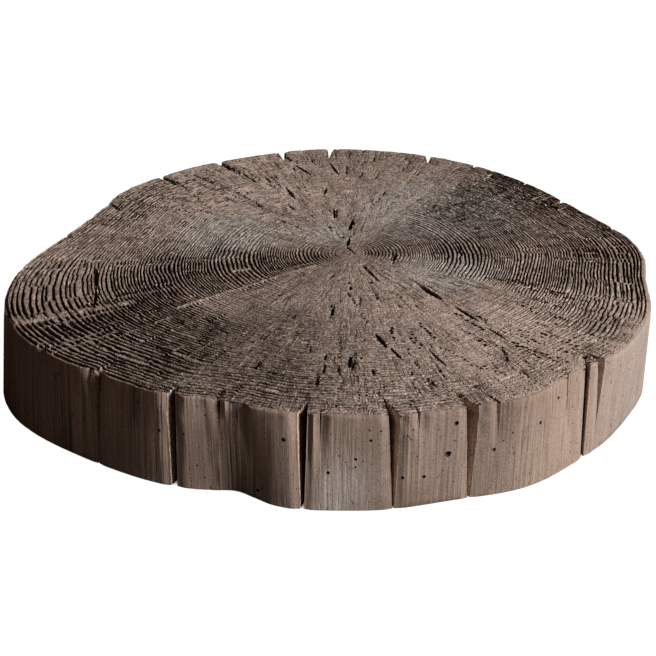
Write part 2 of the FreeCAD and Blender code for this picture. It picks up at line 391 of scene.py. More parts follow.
def tread_relief():
    """How far each point of the tread lies below its highest level."""
    loop = np.arange(len(loop_kind))
    ragged = noise(loop, 420, 29)
    coarse = noise(loop, 120, 25)
    dash = noise((loop + LOOPS // 2) // LOOPS, 380, 26)
    whole = 1 - groove_broken * (1 - ease(-0.15, 0.3, dash))
    in_groove = np.clip(0.9 + 0.2 * coarse, 0, 1.2) * whole
    at_shoulder = np.clip(0.06 + 0.3 * ragged, 0, 0.6)
    on_crest = 0.04 * (1 + ragged)
    floor = ((loop_kind == FLOOR_IN) | (loop_kind == FLOOR_OUT))[:, None]
    crest = (loop_kind == CREST)[:, None]
    relief = groove_depth * np.where(floor, in_groove, np.where(crest, on_crest, at_shoulder))
    ray = on_fault * ease(-0.2, 0.4, noise(ring_share * 9, FAULTS, 33))
    relief = relief * (1 - 0.8 * ray)
    return relief + 0.06 * MM * (1 + noise(loop, 512, 24))


def tread_level():
    """How far the ridges of the tread lie below its highest level."""
    ring = np.arange(len(loop_kind)) // LOOPS
    uneven = 0.12 * MM * (1 + noise(ring, 40, 30)) + 0.3 * MM * (1 + noise(ring_share * 5, 9, 23))
    return uneven * (1 - 0.85 * ease(0.9, 0.98, ring_share))[:, None]


level = tread_level()
relief = tread_relief() + level
loop_x = PITH[0] + loop_reach * OUTWARDS[:, 0]
loop_y = PITH[1] + loop_reach * OUTWARDS[:, 1]
loop_spacing = loop_reach * 2 * math.pi / COLUMNS


def beside_line(row):
    """The points of the tread near a line, how near each is to its middle and how far along, both 0 to 1."""
    x0, y0, x1, y1, width = (value * MM for value in row[:5])
    length = math.hypot(x1 - x0, y1 - y0)
    margin = 8 * MM
    near = np.flatnonzero((loop_x > min(x0, x1) - margin) & (loop_x < max(x0, x1) + margin)
                          & (loop_y > min(y0, y1) - margin) & (loop_y < max(y0, y1) + margin))
    x, y = loop_x.flat[near] - x0, loop_y.flat[near] - y0
    along = (x * (x1 - x0) + y * (y1 - y0)) / length ** 2
    across = np.abs(x * (y1 - y0) - y * (x1 - x0)) / length
    half = np.maximum(width / 2, 0.8 * loop_spacing.flat[near])
    inside = (along > 0) & (along < 1) & (across < half)
    return near[inside], (1 - across / half)[inside], along[inside]


def carve_tread():
    """Cuts the seams and checks into the tread's relief, and small checks of chance place and length."""
    ragged = 0.6 + 0.4 * ease(-0.5, 0.5, noise(np.arange(len(loop_kind)) / 4, 150, 36))
    for row in SEAMS:
        near, closeness, _ = beside_line(row)
        kept = 1 - ease(0, 0.4, closeness) * ragged.flat[near]
        relief.flat[near] *= kept
        groove_depth.flat[near] *= kept
    for row in THIN_CHECKS:
        near, closeness, along = beside_line(row)
        relief.flat[near] += row[5] * MM * closeness * np.sin(math.pi * (0.04 + 0.92 * along)) ** 0.5
    chance = np.random.default_rng(31)
    for _ in range(CHANCE_CHECKS):
        bearing = math.radians(chance.choice([chance.uniform(*sector) for sector in CHECKED]))
        start = 30 + 160 * chance.uniform() ** 0.7
        end = start + chance.uniform(6, 26)
        turn = chance.uniform(-0.02, 0.02)
        first = PITH / MM + start * np.array((math.cos(bearing), math.sin(bearing)))
        last = PITH / MM + end * np.array((math.cos(bearing + turn), math.sin(bearing + turn)))
        near, closeness, along = beside_line((*first, *last, 0.6))
        depth = chance.uniform(0.5, 1.4) * MM
        relief.flat[near] += depth * closeness * np.sin(math.pi * (0.04 + 0.92 * along))


carve_tread()


def depth_inside(place):
    """How far a place lies inside the unsplit wall."""
    x = place.x - PITH[0]
    y = place.y - PITH[1]
    column = round(math.atan2(y, x) / (2 * math.pi) * COLUMNS) % COLUMNS
    return hull_reach(place.z)[column] - math.hypot(x, y)


def split_points(body):
    """Points on the walls of the splits and checks, close together."""
    points = []
    for face in body.faces:
        middle = face.calc_center_median()
        below = middle.z < TREAD_HEIGHT - RING_FACES
        if abs(face.normal.z) > 0.95 or depth_inside(middle) < 1.5 * MM or not below:
            continue
        corners = [vertex.co for vertex in face.verts]
        for first in range(3):
            start = corners[first]
            end = corners[(first + 1) % 3]
            steps = max(2, int((end - start).length / MM))
            points.extend(start.lerp(end, step / steps) for step in range(steps))
    return points


points = split_points(body)
split_tree = KDTree(len(points))
for index, point in enumerate(points):
    split_tree.insert(point, index)
split_tree.balance()


def split_distance(places):
    """Distance from each place to the nearest wall of a split or check."""
    flat = places.reshape(-1, 3)
    return np.array([split_tree.find(place)[2] for place in flat]).reshape(places.shape[:-1])


# The relief body: tread, rim, wall and a foot below the cast's bed


def loop_step(loop):
    """Every how many columns a loop of the tread has a point: fewer points near the pith."""
    spacing = loop_reach[loop].mean() * 2 * math.pi / COLUMNS
    step = 1
    while spacing * step < 0.75 * MM and step < 16:
        step *= 2
    return step


def stack(reach, height):
    """Points at a reach from the pith, for each column, and at a height."""
    return np.stack((PITH[0] + reach * OUTWARDS[:, 0], PITH[1] + reach * OUTWARDS[:, 1], height), axis=-1)


def worn_tread():
    """The places of the tread, lower along the splits and chipped at their edges."""
    made = stack(loop_reach, TREAD_HEIGHT - SKIN - relief)
    near = split_distance(stack(loop_reach, np.full_like(loop_reach, TREAD_HEIGHT)))
    at_rim = ease(0.8, 0.95, loop_share)
    made[..., 2] -= (0.1 + 0.6 * at_rim) * MM * (1 - ease(0, 0.8 * MM + 1.6 * MM * at_rim, near))
    chips = noise(np.arange(len(loop_kind)), 400, 35)
    made[..., 2] -= 1.6 * MM * (ease(0.1, 0.7, chips) * (1 - ease(0.5 * MM, 2.4 * MM, near)))
    return made


tread = worn_tread()


def wall_relief(height):
    """How far the wall lies inside the unsplit hull at a height, at each bearing."""
    down = np.array([(TREAD_HEIGHT - height) / MM])
    flutes = 0.25 * MM * (1 + noise(down / 90, 40, 51)[0])
    streaky = ease(-0.1, 0.5, noise(down / 120, 24, 54)[0])
    grain = 0.16 * MM * (1 + noise(down / 45, 128, 52)[0]) * streaky
    fine = 0.09 * MM * (1 + noise(down / 30, 340, 53)[0]) * streaky
    return SKIN + flutes + grain + fine


def wall_rows():
    """The loops of the rim's round and the wall."""
    rows = []
    chips = 0.12 * MM * (1 + noise(np.zeros(1), 90, 41)[0]) + 0.16 * MM * (1 + noise(np.ones(1), 260, 42)[0])
    for degrees in (22, 45, 68):
        turn = math.radians(degrees)
        height = TREAD_HEIGHT - TREAD_ROUND * (1 - math.cos(turn))
        reach = tread_reach + math.sin(turn) * (TREAD_ROUND - wall_relief(height) - chips)
        rows.append(stack(reach, height - math.cos(turn) * (SKIN + 0.5 * relief[-1] + chips)))
    for height in np.array((57, 52, 46, 38, 29, 20, 11, 4, -2)) * MM:
        reach = hull_reach(height) - wall_relief(height) - chips * ease(50 * MM, 57 * MM, height)
        rows.append(stack(reach, np.full(COLUMNS, height)))
    return np.array(rows)


# Flares of the wall beside a split: bearing of the split's side, which way it opens, width at the tread,
# depth at the split and how far it runs down, in mm
FLARES = [
    (-96.8, 1, 8, 4.5, 44),
    (-117.4, 1, 7, 4.0, 50),
    (-132.4, -1, 7, 3.5, 22),
]


def flares(places):
    """How far the flares take the wall back at each of its points."""
    reach = np.hypot(places[..., 0] - PITH[0], places[..., 1] - PITH[1])
    down = (TREAD_HEIGHT - places[..., 2]) / MM
    taken = np.zeros_like(reach)
    for bearing, way, width, depth, run in FLARES:
        apart = way * ((DEGREES - bearing + 180) % 360 - 180)
        open_there = np.clip(1 - down / run, 0, 1)
        across = np.radians(apart) * reach / (width * MM * np.maximum(open_there, 0.01))
        hollow = np.where(across > -0.1, np.clip(1 - across, 0, 1) ** 2, 0)
        taken = np.maximum(taken, depth * MM * hollow * open_there ** 0.7)
    return taken


def lips(places):
    """How far the wall is rounded back beside the splits at each of its points, most at the tread."""
    deepest = 1.2 * MM + 0.9 * MM * ease(30 * MM, 58 * MM, places[..., 2])
    return deepest * (1 - ease(0, 5 * MM, split_distance(places)))


wall = wall_rows()
wall[..., :2] -= np.maximum(lips(wall), flares(wall))[..., None] * OUTWARDS


def relief_mesh():
    """Places, triangles and finishes of a closed mesh of loops from the pith to the rim and down the wall."""
    middle = [PITH[0], PITH[1]]
    places = [np.array([middle + [TREAD_HEIGHT - SKIN - relief[0].mean()]])]
    places.extend(tread[loop, ::loop_step(loop)] for loop in range(len(tread)))
    places.extend(wall)
    places.append(np.array([middle + [wall[-1, 0, 2]]]))
    ends = np.cumsum([len(row) for row in places])
    rows = [np.arange(start, end) for start, end in zip(ends[:-2], ends[1:-1])]
    first, last = rows[0], rows[-1]
    faces = [np.stack((np.zeros_like(first), first, np.roll(first, -1)), axis=1)]
    slots = [np.full(len(first), TREAD_SLOT)]
    for index, (inner, outer) in enumerate(zip(rows[:-1], rows[1:])):
        inner_next = np.roll(inner, -1)
        if len(inner) == len(outer):
            outer_next = np.roll(outer, -1)
            strips = [(inner, outer, outer_next), (inner, outer_next, inner_next)]
        else:
            start, between = outer[::2], outer[1::2]
            strips = [(inner, start, between), (inner, between, inner_next),
                      (inner_next, between, np.roll(start, -1))]
        for strip in strips:
            faces.append(np.stack(strip, axis=1))
            slots.append(np.full(len(inner), TREAD_SLOT if index < len(tread) - 1 else WALL_SLOT))
    faces.append(np.stack((last, np.full_like(last, ends[-1] - 1), np.roll(last, -1)), axis=1))
    slots.append(np.full(len(last), WALL_SLOT))
    return np.concatenate(places), np.concatenate(faces), np.concatenate(slots)


def new_object(name, mesh):
    made = bpy.data.objects.new(name, mesh)
    bpy.context.scene.collection.objects.link(made)
    return made


TREAD_SLOT, WALL_SLOT, SPLIT_SLOT, BED_SLOT, HOLE_SLOT = range(5)
places, faces, slots = relief_mesh()
slab_mesh = bpy.data.meshes.new("log_slice")
slab_mesh.from_pydata(places.tolist(), [], faces.tolist())
slab_mesh.polygons.foreach_set("material_index", slots)
slab = new_object("log_slice", slab_mesh)


def in_cove(face, middle):
    """Whether a face of the cast looks outward from a hollow of the wall that is not a split."""
    outward = Vector((middle.x - PITH[0], middle.y - PITH[1], 0)).normalized()
    return face.normal.dot(outward) > 0.6 and depth_inside(middle) < 6 * MM


def finish_slot(face):
    """The finish of a face of the cast."""
    middle = face.calc_center_median()
    if face.normal.z < -0.9 and middle.z < MM:
        return BED_SLOT
    if depth_inside(middle) < 0.6 * MM or in_cove(face, middle):
        return WALL_SLOT
    return TREAD_SLOT if middle.z > TREAD_HEIGHT - RING_FACES else SPLIT_SLOT


for face in body.faces:
    face.material_index = finish_slot(face)
split_mesh = bpy.data.meshes.new("split_body")
body.to_mesh(split_mesh)
split_body = new_object("split_body", split_mesh)


# Air holes of the wall: bearing, height and radius in mm
WALL_HOLES = [
    (-76.6, 31.6, 2.2), (-75.7, 51, 1.7), (-69.5, 30, 1.3), (-88, 45, 1.2), (-80.2, 19, 1.4),
    (-83.4, 20, 1.3), (-94, 24, 1.3), (-100.3, 43, 1.5), (-98.9, 17, 1.4), (-104.3, 6, 1.4),
    (-119.5, 35, 1.2), (-111.4, 53, 1.3), (-62, 40, 1.3), (-90, 33, 1.2), (-72, 12, 1.2), (-58, 50, 1.2),
]

# Air holes of chance place: how many, and their least and greatest height and radius in mm
CHANCE_HOLES = 150
HOLE_HEIGHTS = (4, 54)
HOLE_RADII = (0.5, 0.85)

# Distance along a row from one pit to the next, and how deep the middle of a pit lies below the tread
PIT_PITCH = 3.1 * MM
PIT_DEPTH = 0.45 * MM


def hole_sites(chance):
    """Column, distance from the pith, height and radius of each air hole of the wall."""
    sites = []
    for bearing, height, radius in WALL_HOLES:
        column = round(bearing / 360 * COLUMNS) % COLUMNS
        sites.append((column, hull_reach(height * MM)[column] - 0.7 * MM, height * MM, radius * MM))
    for _ in range(CHANCE_HOLES):
        bearing = chance.uniform(-180, 180)
        height = chance.uniform(*HOLE_HEIGHTS) * MM
        radius = chance.uniform(*HOLE_RADII) * MM
        column = int(bearing / 360 * COLUMNS) % COLUMNS
        reach = hull_reach(height)[column] - wall_relief(height)[column]
        sites.append((column, reach, height, radius))
    return sites


def pit_rows(chance):
    """Plan place of both ends and width of a pit, in mm, of each row of pits in the tread."""
    rows = list(PIT_ROWS)
    for first, last, count, widest_pit in CHANCE_ROWS:
        for _ in range(count):
            turn = math.radians(chance.uniform(first, last))
            ray = np.array((math.cos(turn), math.sin(turn)))
            edge = tread_reach[int(turn / (2 * math.pi) * COLUMNS) % COLUMNS] / MM
            near_end = edge * chance.uniform(0.5, 0.93)
            far_end = min(near_end + chance.uniform(7, 34), edge * 0.985)
            width = chance.uniform(LEAST_PIT, widest_pit)
            rows.append((*(PITH / MM + near_end * ray), *(PITH / MM + far_end * ray), width))
    return rows


def is_clear(centre, others, apart, from_split):
    """Whether a hole keeps its distance from the other holes and from the splits."""
    if split_tree.find(centre)[2] < from_split:
        return False
    return all((centre - other).length >= apart for other in others)


def air_holes():
    """Holes in the wall, each cut by a ball, and rows of pits in the tread, each cut by a long one."""
    chance = np.random.default_rng(61)
    centres = []
    holes = bmesh.new()
    for column, reach, height, radius in hole_sites(chance):
        centre = Vector((*(PITH + reach * OUTWARDS[column]), height))
        if not is_clear(centre, centres, 4 * MM, 3 * MM):
            continue
        centres.append(centre)
        bmesh.ops.create_icosphere(holes, subdivisions=1, radius=radius, matrix=Matrix.Translation(centre))
    for x0, y0, x1, y1, width in pit_rows(chance):
        start, end = Vector((x0, y0, 0)) * MM, Vector((x1, y1, 0)) * MM
        steps = max(1, int((end - start).length / PIT_PITCH))
        long = 1.3 * (end - start).normalized() + 0.15 * Vector((0, 0, 1))
        across = Vector((-long.y, long.x, 0)).normalized()
        for step in range(steps):
            along = (step + chance.uniform(0.2, 0.8)) / steps
            aside = chance.normal(0, 0.5)
            centre = start.lerp(end, along) + across * aside * MM
            centre.z = TREAD_HEIGHT - PIT_DEPTH
            if not is_clear(centre, centres, 2.6 * MM, 2.5 * MM):
                continue
            centres.append(centre)
            pit = Matrix((long, across, (0, 0, 1.6))).transposed() * (width / 2 * chance.uniform(0.75, 1.25))
            place = Matrix.Translation(centre) @ pit.to_4x4()
            bmesh.ops.create_icosphere(holes, subdivisions=1, radius=MM, matrix=place)
    for face in holes.faces:
        face.material_index = HOLE_SLOT
    mesh = bpy.data.meshes.new("air_holes")
    holes.to_mesh(mesh)
    return new_object("air_holes", mesh)


holes = air_holes()


# Finishes


class Paint:
    """A socket in a material's nodes, with arithmetic that adds Math nodes."""

    def __init__(self, tree, socket=None):
        self.tree = tree
        self.socket = socket

    def node(self, kind, settings, sockets, out=0):
        """Adds a node of a kind, sets it and joins its sockets, and gives one of its outputs."""
        made = self.tree.nodes.new(kind)
        for name, value in settings.items():
            setattr(made, name, value)
        for name, value in sockets.items():
            if isinstance(value, Paint):
                self.tree.links.new(value.socket, made.inputs[name])
            else:
                made.inputs[name].default_value = value
        return Paint(self.tree, made.outputs[out])

    def math(self, operation, *values):
        return self.node("ShaderNodeMath", {"operation": operation}, dict(enumerate(values)))

    def __add__(self, other):
        return self.math("ADD", self, other)

    __radd__ = __add__

    def __sub__(self, other):
        return self.math("SUBTRACT", self, other)

    def __rsub__(self, other):
        return self.math("SUBTRACT", other, self)

    def __mul__(self, other):
        return self.math("MULTIPLY", self, other)

    __rmul__ = __mul__

    def __abs__(self):
        return self.math("ABSOLUTE", self)

    def rise(self, low, high):
        """0 below low, 1 above high and a smooth step between them."""
        settings = {"interpolation_type": "SMOOTHSTEP"}
        return self.node("ShaderNodeMapRange", settings, {"Value": self, "From Min": low, "From Max": high})

    def near(self, middle, core, edge):
        """1 within a core either side of a middle value, and 0 beyond an edge."""
        return 1.0 - abs(self - middle).rise(core, edge)

    def greater(self, other):
        return self.math("MAXIMUM", self, other)

    def floored(self):
        return self.math("FLOOR", self)

    def mixed(self, first, second):
        """The first colour where this value is 0 and the second where it is 1."""
        return self.node("ShaderNodeMix", {"data_type": "RGBA"}, {0: self, 6: first, 7: second}, 2)

    def vector(self, operation, *values, out=0):
        return self.node("ShaderNodeVectorMath", {"operation": operation}, dict(enumerate(values)), out)

    def speckle(self, where, scale, detail=2.0, roughness=0.5):
        """Noise from 0 to 1 with bumps 1 / scale apart in the units of where."""
        sockets = {"Vector": where, "Scale": scale, "Detail": detail, "Roughness": roughness}
        return self.node("ShaderNodeTexNoise", {}, sockets)

    def axis(self, vector, name):
        """One of the three values of a vector."""
        return self.node("ShaderNodeSeparateXYZ", {}, {"Vector": vector}, name)

    def attribute(self, name):
        return self.node("ShaderNodeAttribute", {"attribute_name": name}, {}, "Fac")

    def joined(self, x, y, z):
        return self.node("ShaderNodeCombineXYZ", {}, {"X": x, "Y": y, "Z": z})


class Finish(Paint):
    """A new material with the coordinates that every finish of the stone is built from."""

    def __init__(self, name):
        self.material = bpy.data.materials.new(name)
        self.material.use_nodes = True
        super().__init__(self.material.node_tree)
        self.shader = self.tree.nodes["Principled BSDF"]
        place = self.node("ShaderNodeTexCoord", {}, {}, "Object")
        self.place = self.vector("MULTIPLY", place, (1 / MM,) * 3)
        self.outward = self.vector("SUBTRACT", self.place, (PITH[0] / MM, PITH[1] / MM, 0))
        self.outward = self.vector("MULTIPLY", self.outward, (1, 1, 0))
        self.reach = self.vector("LENGTH", self.outward, out="Value")
        self.direction = self.vector("NORMALIZE", self.outward)
        self.height = self.axis(self.place, "Z")
        self.right = self.axis(self.direction, "X")
        for name in ("hollow", "ring", "grooved", "opened", "broken", "pitted", "fine", "rough"):
            setattr(self, name, self.attribute(name))

    def around(self, bumps, along, along_scale):
        """Coordinates that run round the stone, with bumps in each radian, and along another value."""
        turned = self.vector("MULTIPLY", self.direction, (bumps,) * 3)
        lifted = self.joined(0, 0, along * along_scale)
        return self.vector("ADD", turned, lifted)

    def streaks(self, bumps, along, along_scale, detail=1.0, roughness=0.5):
        """Noise from 0 to 1 with bumps in each radian round the stone, drawn out along another value."""
        return self.speckle(self.around(bumps, along, along_scale), 1.0, detail, roughness)

    def spot(self, middle, blur, core, edge):
        """1 near a place in mm and 0 beyond an edge, with both distances made ragged by a blur."""
        apart = self.vector("DISTANCE", self.place, middle, out="Value")
        return 1.0 - (apart + blur).rise(core, edge)

    def apply(self, colour, bump):
        """Joins the colour and a bump height in mm to the shader."""
        normal = self.node("ShaderNodeBump", {}, {"Strength": 1.0, "Distance": MM, "Height": bump})
        self.tree.links.new(colour.socket, self.shader.inputs["Base Color"])
        self.tree.links.new(normal.socket, self.shader.inputs["Normal"])
        self.shader.inputs["Roughness"].default_value = ROUGHNESS
        self.shader.inputs["Specular IOR Level"].default_value = 0.0
        return self.material


# Colours: of the tread, of the wall with its right end and its stain, inside the splits, and inside the
# holes, near black as painted shade
WARM, PINK = (0.40, 0.308, 0.252, 1), (0.465, 0.355, 0.295, 1)
COOL = (0.47, 0.41, 0.365, 1)
# Dark colour of dirt, and of the painted shade in the grooves, splits and checks
DIRT_AND_SHADE = (0.03, 0.02, 0.015, 1)
WALL_DARK, WALL_PALE = (0.275, 0.195, 0.15, 1), (0.34, 0.25, 0.2, 1)
WALL_RIGHT = (0.37, 0.305, 0.27, 1)
STAIN = (0.50, 0.45, 0.41, 1)
SPLIT_DARK, SPLIT_PALE = (0.40, 0.29, 0.225, 1), (0.48, 0.36, 0.29, 1)
HOLE_DARK, HOLE_PALE = (0.035, 0.025, 0.02, 1), (0.05, 0.035, 0.028, 1)
ROUGHNESS = 0.9

# Cooler patches of the tread: plan place and radius in mm
COOL_PATCHES = [((75, 90), 70), ((-66, 48), 46), ((2, 50), 24), ((75, -10), 40)]

# Middle of the pale stain at the foot of the wall, in mm
PALE_STAIN = (7, -207, 14)


def concrete(finish, dark, pale):
    """The cast's own colour: brown and pink in broad patches, with sand in it."""
    broad = finish.speckle(finish.place, 0.014, 3.0).rise(0.35, 0.65)
    grains = finish.vector("MULTIPLY", finish.place, (0.95, 0.5, 0.8))
    sand = finish.speckle(grains, 1.0, 2.0, 0.6)
    tone = finish.speckle(finish.place, 0.09, 3.0, 0.6)
    colour = broad.mixed(dark, pale)
    shade = (tone - 0.5) * 0.45 + (sand.rise(0.25, 0.75) - 0.5) * 0.9 + 1.0
    return colour, shade, sand


def shaded(finish, colour, shade):
    """A colour made darker or lighter by a value."""
    return finish.vector("MULTIPLY", colour, finish.joined(shade, shade, shade))


def cool_patches(finish):
    """1 in the cooler patches of the tread and 0 elsewhere."""
    cool = 0.0
    blur = finish.speckle(finish.place, 0.035, 2.0) * 40.0 - 20.0
    for (x, y), radius in COOL_PATCHES:
        cool = finish.spot((x, y, TREAD_HEIGHT / MM), blur, radius * 0.5, radius * 1.1).greater(cool)
    return cool


def ring_concrete():
    """The tread: rings as dark lines of dirt and painted shade, with checks, pits, roughness, and painted
    shade deep in the grooves.
    """
    finish = Finish("ring_concrete")
    colour, shade, sand = concrete(finish, WARM, PINK)
    cool = cool_patches(finish)
    colour = (cool * 0.85).mixed(colour, COOL)

    # The edge is 1 half-way between two crests, and 0 on a crest
    wander = finish.streaks(60, finish.ring, 1.3, 3.0, 0.65)
    ring = finish.ring + (wander - 0.5) * 0.4
    edge = abs(ring.math("FRACT", ring) - 0.5) * 2.0
    nearest = (ring + 0.5).floored()

    # The shade is evener where the tread is pitted, darker at the pith and lighter in cool and rough parts
    even = 1.0 - finish.pitted * 0.55
    shade = (shade - 1.0) * even + finish.pitted * 0.12 + 1.0
    grain = finish.streaks(70, (ring * 2.0).floored(), 5.7, 2.0, 0.6)
    shade = shade + (grain.rise(0.25, 0.75) - 0.5) * even * 0.7
    shade = shade - (1.0 - finish.reach.rise(8.0, 46.0)) * 0.2
    shade = shade + finish.rough * 0.25 + cool * (1.0 - finish.rough) * 0.08

    # Dark lines in the grooves, partly dirt and partly painted shade of the grooves, broken into beads, and
    # finer lines on the crests at the front
    beads = finish.streaks(95, nearest, 7.3)
    long_beads = finish.streaks(30, nearest, 7.9, 0.0)
    beads = beads + (long_beads - beads) * abs(finish.right).rise(0.5, 0.8)
    dashes = 1.0 - finish.broken * (1.0 - beads.rise(0.42, 0.56))
    line = (edge + finish.opened - 1.0 + (sand - 0.5) * 0.7).rise(-0.12, 0.16) * dashes * finish.grooved
    between = finish.streaks(120, nearest, 3.7).rise(0.4, 0.54)
    crest_line = (1.0 - edge).rise(0.6, 0.85) * between * finish.fine

    # Cracks that run out from the pith, with a star of longer ones round it and rows of pits
    radial = finish.streaks(75, finish.reach, 0.035)
    stretch = finish.streaks(9, finish.reach, 0.03, 2.0).rise(0.46, 0.58)
    crack = radial.near(0.5, 0.01, 0.045) * stretch
    star_stretch = finish.streaks(22, finish.reach, 0.07).rise(0.48, 0.58)
    star_ring = finish.reach.rise(10.0, 22.0) * (1.0 - finish.reach.rise(80.0, 130.0))
    star = finish.streaks(24, finish.reach, 0.02).near(0.5, 0.012, 0.06)
    star = star * star_stretch * star_ring * (1.0 - finish.grooved * 0.6)
    dots = finish.streaks(150, nearest, 5.1).rise(0.46, 0.56) * edge.rise(0.4, 0.7)
    pits = dots * radial.near(0.6, 0.04, 0.09) * finish.pitted

    # Clean rays at the front, clods at the right back, and pores
    ray = finish.streaks(34, finish.reach, 0.01).near(0.52, 0.008, 0.035) * stretch * finish.fine
    clods = finish.vector("MULTIPLY", finish.place, (0.6, 0.3, 0.5))
    rough = finish.speckle(clods, 1.0, 2.0, 0.6).rise(0.45, 0.55) * finish.rough
    pores = finish.speckle(finish.place, 0.6, 1.0).rise(0.7, 0.76)

    # Darkening towards the dark colour: cracks, star, pores, pits, crest lines and clods are dark marks, the
    # groove lines are dirt and painted shade, and the darkening deeper than 0.4 mm below the ridges is
    # painted shade with some dirt
    darkening = 0.0
    masks = (
        (line, 0.86), (crack, 0.7), (star, 0.85), (pores, 0.6), (pits, 0.9), (crest_line, 0.75), (rough, 0.7),
        (finish.hollow.rise(0.4, 1.0), 0.95),
    )
    for mask, weight in masks:
        darkening = (mask * weight).greater(darkening)
    darkening = darkening * (1.0 - ray * 0.75)
    colour = darkening.mixed(shaded(finish, colour, shade), DIRT_AND_SHADE)
    bump = sand * 1.1 - line * 0.6 - crack * 0.5 - star * 0.8 - pores * 0.6 - pits * 0.8 - crest_line * 0.4
    return finish.apply(colour, bump)


def wall_concrete():
    """The wall: upright grain that is stronger on the shaded side, painted shade at its far left end, its
    foot and part of its front, pores, and a pale stain at the foot.
    """
    finish = Finish("wall_concrete")
    colour, shade, sand = concrete(finish, WALL_DARK, WALL_PALE)
    streaky = finish.streaks(7, finish.height, 0.008).rise(0.4, 0.62) * 0.65 + 0.35
    streak = finish.streaks(110, finish.height, 0.018, 3.0, 0.65)
    broad = finish.streaks(45, finish.height, 0.012, 2.0)
    thin = finish.streaks(190, finish.height, 0.012, 2.0, 0.6)
    line = streak.near(0.42, 0.01, 0.05) * broad.rise(0.45, 0.6) * streaky
    pores = finish.speckle(finish.place, 0.42, 1.0).rise(0.7, 0.76)

    # Painted light and shade along the wall, from its left end to its right: lighter over the side away from
    # the lamp, painted shade at the far left end, at the foot of that side and on part of the front, and
    # stronger grain on that side
    right, left = finish.right, 0.0 - finish.right
    shaded_side = left.rise(0.05, 0.5)
    front = right.rise(-0.16, 0.14) * (1.0 - right.rise(0.36, 0.56))
    foot = (1.0 - finish.height.rise(0.0, 35.0)) * shaded_side
    grain = (streak - 0.5) * 0.6 + (broad - 0.5) * 0.6 + (thin - 0.5) * 1.2
    contrast = streaky * (1.0 + shaded_side * 1.3 - right.rise(0.1, 0.6) * 0.5)
    shade = (shade - 1.0) * 0.3 + grain * contrast + 1.0
    shade = shade + shaded_side * 0.08 - left.rise(0.7, 0.95) * 0.3 - foot * 0.15 - front * 0.26
    colour = (right.rise(0.5, 1.0) * 0.8).mixed(colour, WALL_RIGHT)

    blur = finish.speckle(finish.place, 0.12, 3.0, 0.6) * 26.0 - 13.0
    stain = finish.spot(PALE_STAIN, blur, 4.0, 30.0) * (thin.rise(0.35, 0.65) * 0.5 + 0.5)
    colour = (stain * 0.7).mixed(colour, STAIN)
    darkening = (line * 0.12).greater(pores * 0.5)
    colour = darkening.mixed(shaded(finish, colour, shade), DIRT_AND_SHADE)
    bump = streak * streaky * 0.6 + sand * 0.2 - line * 0.2 - pores * 0.4
    return finish.apply(colour, bump)


def split_concrete():
    """The walls of splits and checks: darkened by dirt and painted shade in the tread and deep inside, paler
    at the mouth of a split.
    """
    finish = Finish("split_concrete")
    colour, shade, sand = concrete(finish, SPLIT_DARK, SPLIT_PALE)
    # Painted shade with some dirt: darker the deeper inside a split, and in the checks of the tread
    inside = finish.hollow.rise(1.5, 9.0) * (finish.height.rise(46.0, 56.0) * 0.4 + 0.5)
    in_tread = finish.hollow.rise(0.3, 2.0) * (1.0 - finish.reach.rise(150.0, 180.0)) * 0.92
    colour = inside.greater(in_tread).mixed(shaded(finish, colour, shade), DIRT_AND_SHADE)
    return finish.apply(colour, sand * 0.3)


def plain_concrete(name, dark, pale, grit):
    """Concrete without marks of its own, with the height of its grit in mm."""
    finish = Finish(name)
    colour, shade, sand = concrete(finish, dark, pale)
    return finish.apply(shaded(finish, colour, shade), sand * grit)


bed_concrete = plain_concrete("bed_concrete", WARM, PINK, 0.35)
# The holes and pits are lined with a near-black colour, painted shade inside them
shaded_hole_concrete = plain_concrete("shaded_hole_concrete", HOLE_DARK, HOLE_PALE, 0.3)
for finish in (ring_concrete(), wall_concrete(), split_concrete(), bed_concrete, shaded_hole_concrete):
    slab.data.materials.append(finish)
    split_body.data.materials.append(finish)
    holes.data.materials.append(finish)


# The splits and air holes are cut into the relief


def cut(operation, other):
    """Joins the slab to another body by a boolean operation."""
    change = slab.modifiers.new(other.name, "BOOLEAN")
    change.operation = operation
    change.object = other
    change.solver = "MANIFOLD"
    change.material_mode = "INDEX"


whole_tread = slab.vertex_groups.new(name="tread")
whole_tread.add(list(range(len(places) - 1 - wall[..., 0].size)), 1.0, "REPLACE")
fewer = slab.modifiers.new("fewer", "DECIMATE")
fewer.ratio = RELIEF_TRIANGLES / len(faces)
fewer.vertex_group = whole_tread.name
cut("INTERSECT", split_body)
cut("DIFFERENCE", holes)
finished = bpy.data.meshes.new_from_object(slab.evaluated_get(bpy.context.evaluated_depsgraph_get()))
slab.modifiers.clear()
slab.data = finished
bpy.data.objects.remove(split_body)
bpy.data.objects.remove(holes)


# Angle between two faces from which their edge is sharp
CREASE = math.radians(42)

# Depth from which a groove has its full line
FULL_GROOVE = 1.2 * MM


def sharp_edges(mesh):
    """Smooth shading, but for creases and the edges where a split or hole meets the relief."""
    mesh.shade_smooth()
    shape = bmesh.new()
    shape.from_mesh(mesh)
    for edge in shape.edges:
        slots = {face.material_index for face in edge.link_faces}
        crease = len(edge.link_faces) == 2 and edge.calc_face_angle() > CREASE
        edge.smooth = not crease and (len(slots) == 1 or slots == {TREAD_SLOT, WALL_SLOT})
    shape.to_mesh(mesh)


